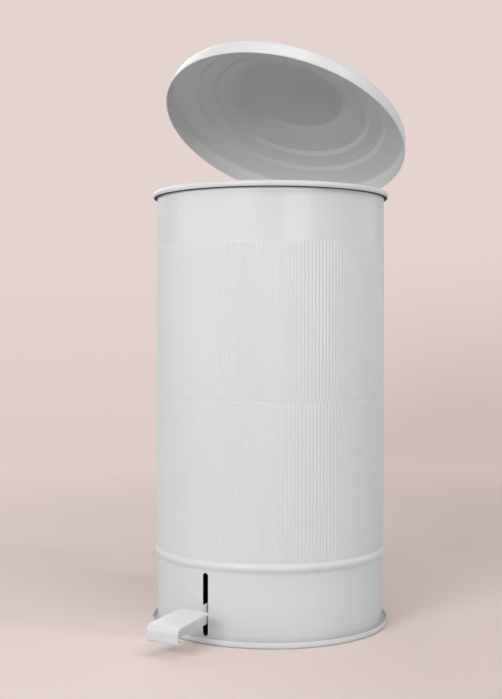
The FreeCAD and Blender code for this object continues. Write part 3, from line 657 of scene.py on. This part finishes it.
COPIES = [
    ("hinge_saddle", "hinge_bracket", BODY_PAINT, "body_paint", "bin", 0.4),
    ("saddle_rivets", "hinge_bracket_rivets", ZINC, "zinc_steel", "bin", 0.3),
    ("hinge_pivot_pin", "hinge_pin", ZINC, "zinc_steel", "bin", 0.4),
    ("hinge_pivot_clip", "hinge_pin_clip", ZINC, "zinc_steel", "bin", 0.2),
    ("hinge_side_washers", "hinge_washers", NYLON, "bush_plastic", "bin", 0.3),
    ("lever_bracket", "pedal_bracket", ZINC, "zinc_steel", "bin", 0.4),
    ("lever_bracket_rivets", "pedal_bracket_rivets", ZINC, "zinc_steel", "bin", 0.3),
    ("lever_axle", "pedal_axle", ZINC, "zinc_steel", "bin", 0.4),
    ("lever_axle_clip", "pedal_axle_clip", ZINC, "zinc_steel", "bin", 0.2),
    ("lever_spacers", "pedal_spacers", NYLON, "bush_plastic", "bin", 0.4),
    ("upper_guide", "rod_guide_upper", BODY_PAINT, "body_paint", "bin", 0.4),
    ("lower_guide", "rod_guide_lower", BODY_PAINT, "body_paint", "bin", 0.4),
    ("guide_rivets", "rod_guide_rivets", ZINC, "zinc_steel", "bin", 0.3),
    ("guide_bushes", "rod_bushes", NYLON, "bush_plastic", "bin", 0.3),
    ("floor_pan", "base_pan", ZINC, "zinc_steel", "bin", 0.2),
    ("bucket_stand", "bucket_shelf", ZINC, "zinc_steel", "bin", 0.25),
    ("lid_cheeks", "lid_arms", LID_PAINT, "lid_paint", "lid", 0.45),
    ("hinge_sleeve", "lid_hinge_tube", ZINC, "zinc_steel", "lid", 0.3),
    ("rod_end_clips", "rod_clips", ZINC, "zinc_steel", "rod", 0.2),
    ("bail_sockets", "bail_ears", BUCKET, "bucket_plastic", "bucket", 0.35),
]
for name, node, material, slot, body, width in COPIES:
    settle(bevelled_copy(name, node, width), material, slot, body, node)

# ---------------------------------------------------------------- push rod

rod_low, rod_high = mm_box("push_rod")
ROD_RADIUS = 2.5
ROD_SIDE = 6.5
rod_back = (rod_low.y + rod_high.y) / 2
rod_path = rounded(
    [
        (rod_low.x + 0.6, rod_back, rod_low.z + ROD_RADIUS),
        (ROD_SIDE, rod_back, rod_low.z + ROD_RADIUS, 5),
        (ROD_SIDE, rod_back, rod_high.z - ROD_RADIUS, 5),
        (rod_high.x - 0.6, rod_back, rod_high.z - ROD_RADIUS),
    ],
    dims=3,
    step=9,
)
rod = swept("bent_rod", rod_path, ROD_RADIUS, 24)
settle(rod, ZINC, "zinc_steel", "rod", "push_rod")

# ---------------------------------------------------------------- bucket and bail

bucket_low, bucket_high = mm_box("inner_bucket")
bucket_face = [
    (0, bucket_low.z + 2.4),
    (60, bucket_low.z + 2.4, 1.5),
    (62, bucket_low.z + 1.2, 1.0),
    (96, bucket_low.z + 1.2, 1.0),
    (98, bucket_low.z, 1.0),
    (104.3, bucket_low.z, 2.6),
    (110.9, bucket_high.z - 5.0, 0.8),
    (113.0, bucket_high.z - 4.0, 0.5),
    (115.0, bucket_high.z - 4.0, 0.4),
    (115.0, bucket_high.z, 1.4),
    (110.4, bucket_high.z, 1.6),
    (108.6, bucket_high.z - 8, 1.0),
    (102.6, bucket_low.z + 4.2, 5.0),
    (62, bucket_low.z + 4.0, 1.0),
    (60, bucket_low.z + 4.4, 1.0),
    (0, bucket_low.z + 4.4),
]
bucket = lathe("plastic_bucket", rounded(bucket_face, step=12), around=192)
settle(bucket, BUCKET, "bucket_plastic", "bucket", "inner_bucket")

wire_low, wire_high = mm_box("bail_handle")
BAIL_RADIUS = 109.5
BAIL_WIRE = 2.0
BAIL_UP = (wire_low.z + wire_high.z) / 2
loop = [
    (BAIL_RADIUS * sin(radians(a)), -BAIL_RADIUS * cos(radians(a)), BAIL_UP) for a in range(-86, 87, 2)
]
bail_path = rounded(
    [
        (wire_low.x + 0.5, 0, BAIL_UP),
        (-BAIL_RADIUS, 0, BAIL_UP, 3.0),
        *loop,
        (BAIL_RADIUS, 0, BAIL_UP, 3.0),
        (wire_high.x - 0.5, 0, BAIL_UP),
    ],
    dims=3,
    step=15,
)
wire = swept("bail_wire", bail_path, BAIL_WIRE, 18)
settle(wire, ZINC, "zinc_steel", "bail", "bail_handle")

GRIP_ANGLE = 28


def grip_size(share):
    """The grip's radius along its length: a flange at each end and five soft finger grooves."""
    from_end = min(share, 1 - share)
    if from_end < 0.05:
        return 4.9
    return 4.25 + 0.45 * cos(2 * pi * 5 * (share - 0.05) / 0.9)


grip_path = [
    Vector((BAIL_RADIUS * sin(radians(a)), -BAIL_RADIUS * cos(radians(a)), BAIL_UP))
    for a in [GRIP_ANGLE * (part / 64 - 0.5) for part in range(65)]
]
grip = swept("bail_grip_sleeve", grip_path, grip_size, 32)
settle(grip, GRIP, "grip_plastic", "bail", "bail_grip")

# ---------------------------------------------------------------- stage, light and camera

FLOOR_REACH = 2.4
FADE_START = 0.4
FADE_END = 2.0


def stage_floor():
    """A pale paper floor that fades into the backdrop's colour with distance."""
    rings = [0, 0.2, 0.4, 0.7, 1.1, 1.7, FLOOR_REACH]
    vertices = [(0, 0, 0)]
    faces = []
    around = 64
    for reach in rings[1:]:
        vertices += [
            (reach / MM * cos(2 * pi * i / around), reach / MM * sin(2 * pi * i / around), 0)
            for i in range(around)
        ]
    for i in range(around):
        faces.append((0, 1 + i, 1 + (i + 1) % around))
    for ring in range(len(rings) - 2):
        low = 1 + ring * around
        for i in range(around):
            j = (i + 1) % around
            faces.append((low + i, low + around + i, low + around + j, low + j))
    floor = new_piece("paper_floor", vertices, faces)
    paper = Shader("paper")
    fibre = paper.spread(paper.noise(160, 5, 0.6), 0, 1)
    colour = paper.mix(fibre, PAPER_SHADE, PAPER_PALE)
    seen = paper.put("ShaderNodeLightPath").outputs["Is Camera Ray"]
    colour = paper.mix(seen, PAPER_BOUNCE, colour)
    distance = paper.put("ShaderNodeVectorMath", {0: paper.place}, operation="LENGTH").outputs["Value"]
    alpha = paper.put(
        "ShaderNodeMapRange",
        {"Value": distance, "From Min": FADE_START, "From Max": FADE_END, "To Min": 1.0, "To Max": 0.0},
        interpolation_type="SMOOTHERSTEP",
    ).outputs[0]
    normal = paper.bump(paper.noise(500, 3), 0.05, 0.0001)
    paper.set(Base_Color=colour, Roughness=0.85, Alpha=alpha, Normal=normal)
    floor.data.materials.append(paper.material)


PAPER_BOUNCE = (0.66, 0.66, 0.66)
PAPER_PALE = (0.87, 0.718, 0.682)
PAPER_SHADE = (0.855, 0.705, 0.669)
stage_floor()

TARGET = Vector((0, 0, 0.33))
LIGHT_DISTANCE = 2.0


def area_light(name, azimuth, elevation, size, power):
    """A soft rectangular light that stands at an azimuth and elevation and faces the bin."""
    lamp = bpy.data.lights.new(name, "AREA")
    lamp.shape = "RECTANGLE"
    lamp.size, lamp.size_y = size
    lamp.energy = power
    holder = bpy.data.objects.new(name, lamp)
    a, e = radians(azimuth), radians(elevation)
    away = Vector((sin(a) * cos(e), -cos(a) * cos(e), sin(e)))
    holder.location = TARGET + away * LIGHT_DISTANCE
    holder.rotation_euler = (-away).to_track_quat("-Z", "Y").to_euler()
    bpy.context.scene.collection.objects.link(holder)


CAMERA_AZIMUTH = 32.2
# Name, degrees round to the camera's right, degrees up, size in metres and power in watts.
LIGHTS = [
    ("key", -30, 22, (0.9, 0.5), 13.0),
    ("left", -78, 6, (1.8, 0.7), 6.5),
    ("right_low", 24, 4, (0.8, 0.5), 5.1),
    ("edge", 36, 10, (0.03, 0.9), 1.2),
    ("right_high", 66, 45, (0.2, 0.2), 4.6),
    ("left_high", -30, 56, (0.2, 0.2), 1.6),
    ("right_side", 110, 6, (1.2, 0.7), 2.3),
    ("overhead", 20, 68, (1.0, 1.0), 8.0),
    ("rear", -150, 30, (1.8, 1.4), 11.0),
]
for name, beside, elevation, size, power in LIGHTS:
    area_light(name, CAMERA_AZIMUTH + beside, elevation, size, power)

CAMERA_DISTANCE = 1.33026
CAMERA_HEIGHT = 0.32176
CAMERA_PITCH = 0.0156
CAMERA_YAW = -0.0161
CAMERA_ROLL = 0.0016
CAMERA_LENS = 61.5
SENSOR_WIDTH = 36
a = radians(CAMERA_AZIMUTH)
right = Vector((cos(a), sin(a), 0))
depth = Vector((-sin(a), cos(a), 0))
ahead = (depth + right * CAMERA_YAW).normalized() * cos(CAMERA_PITCH) - Vector((0, 0, sin(CAMERA_PITCH)))
lens = bpy.data.cameras.new("camera")
lens.sensor_width = SENSOR_WIDTH
lens.lens = CAMERA_LENS
camera = bpy.data.objects.new("camera", lens)
camera.location = -depth * CAMERA_DISTANCE + Vector((0, 0, CAMERA_HEIGHT))
roll = Matrix.Rotation(CAMERA_ROLL, 3, "Z")
camera.rotation_euler = (ahead.to_track_quat("-Z", "Y").to_matrix() @ roll).to_euler()
bpy.context.scene.collection.objects.link(camera)
bpy.context.scene.camera = camera
bpy.context.scene.view_settings.view_transform = "Standard"

world = bpy.data.worlds.new("studio")
bpy.context.scene.world = world
world.use_nodes = True
tree = world.node_tree
tree.nodes.clear()


def sky(kind, values=None, **settings):
    """A node of the backdrop, with its values and links."""
    node = tree.nodes.new(kind)
    for key, value in settings.items():
        setattr(node, key, value)
    for key, value in (values or {}).items():
        if isinstance(value, bpy.types.NodeSocket):
            tree.links.new(value, node.inputs[key])
        else:
            node.inputs[key].default_value = value
    return node


# The camera sees pale paper with a painted shadow, darker low on the right where the bin's shadow falls, and
# painted shade that darkens it towards the floor. Every other ray meets plain white, weaker for diffuse
# light than for reflections.
WALL_PALE = (0.785, 0.651, 0.624, 1)
WALL_SHADOW_COLOUR = (0.615, 0.497, 0.474, 1)
SHADOW_RIGHT = 0.183
SHADOW_DOWN = 0.17
SHADOW_FULL = 0.02
SHADOW_NONE = 0.26
LOW_START = 0.06
LOW_END = -0.13
LOW_SHADE = 0.4
AMBIENT = 0.20
MIRRORED = 0.6
# Painted shadow: the backdrop darkens around one direction, low on the right, where the bin's shadow falls.
shadow_way = (depth + right * SHADOW_RIGHT - Vector((0, 0, SHADOW_DOWN))).normalized()
look = sky("ShaderNodeTexCoord").outputs["Generated"]
gap = sky("ShaderNodeVectorMath", {0: look, 1: shadow_way}, operation="DISTANCE").outputs["Value"]
painted_shade = sky(
    "ShaderNodeMapRange",
    {"Value": gap, "From Min": SHADOW_FULL, "From Max": SHADOW_NONE, "To Min": 1.0, "To Max": 0.0},
    interpolation_type="SMOOTHSTEP",
).outputs[0]
# Painted shade: the backdrop also darkens towards the floor, added to the painted shadow.
height = sky("ShaderNodeSeparateXYZ", {0: look}).outputs["Z"]
low_shade = sky(
    "ShaderNodeMapRange",
    {"Value": height, "From Min": LOW_START, "From Max": LOW_END, "To Min": 0.0, "To Max": LOW_SHADE},
).outputs[0]
painted_shade = sky("ShaderNodeMath", {0: painted_shade, 1: low_shade}, operation="ADD", use_clamp=True).outputs[0]
paper_with_shade = sky("ShaderNodeMix", {0: painted_shade, 6: WALL_PALE, 7: WALL_SHADOW_COLOUR}, data_type="RGBA").outputs[2]
path = sky("ShaderNodeLightPath")
ambient = sky("ShaderNodeBackground", {"Color": (1, 1, 1, 1), "Strength": AMBIENT})
mirrored = sky("ShaderNodeBackground", {"Color": (1, 1, 1, 1), "Strength": MIRRORED})
backdrop = sky("ShaderNodeBackground", {"Color": paper_with_shade, "Strength": 1.0})
unseen = sky(
    "ShaderNodeMixShader",
    {0: path.outputs["Is Diffuse Ray"], 1: mirrored.outputs[0], 2: ambient.outputs[0]},
)
whole = sky(
    "ShaderNodeMixShader",
    {0: path.outputs["Is Camera Ray"], 1: unseen.outputs[0], 2: backdrop.outputs[0]},
)
sky("ShaderNodeOutputWorld", {"Surface": whole.outputs[0]})
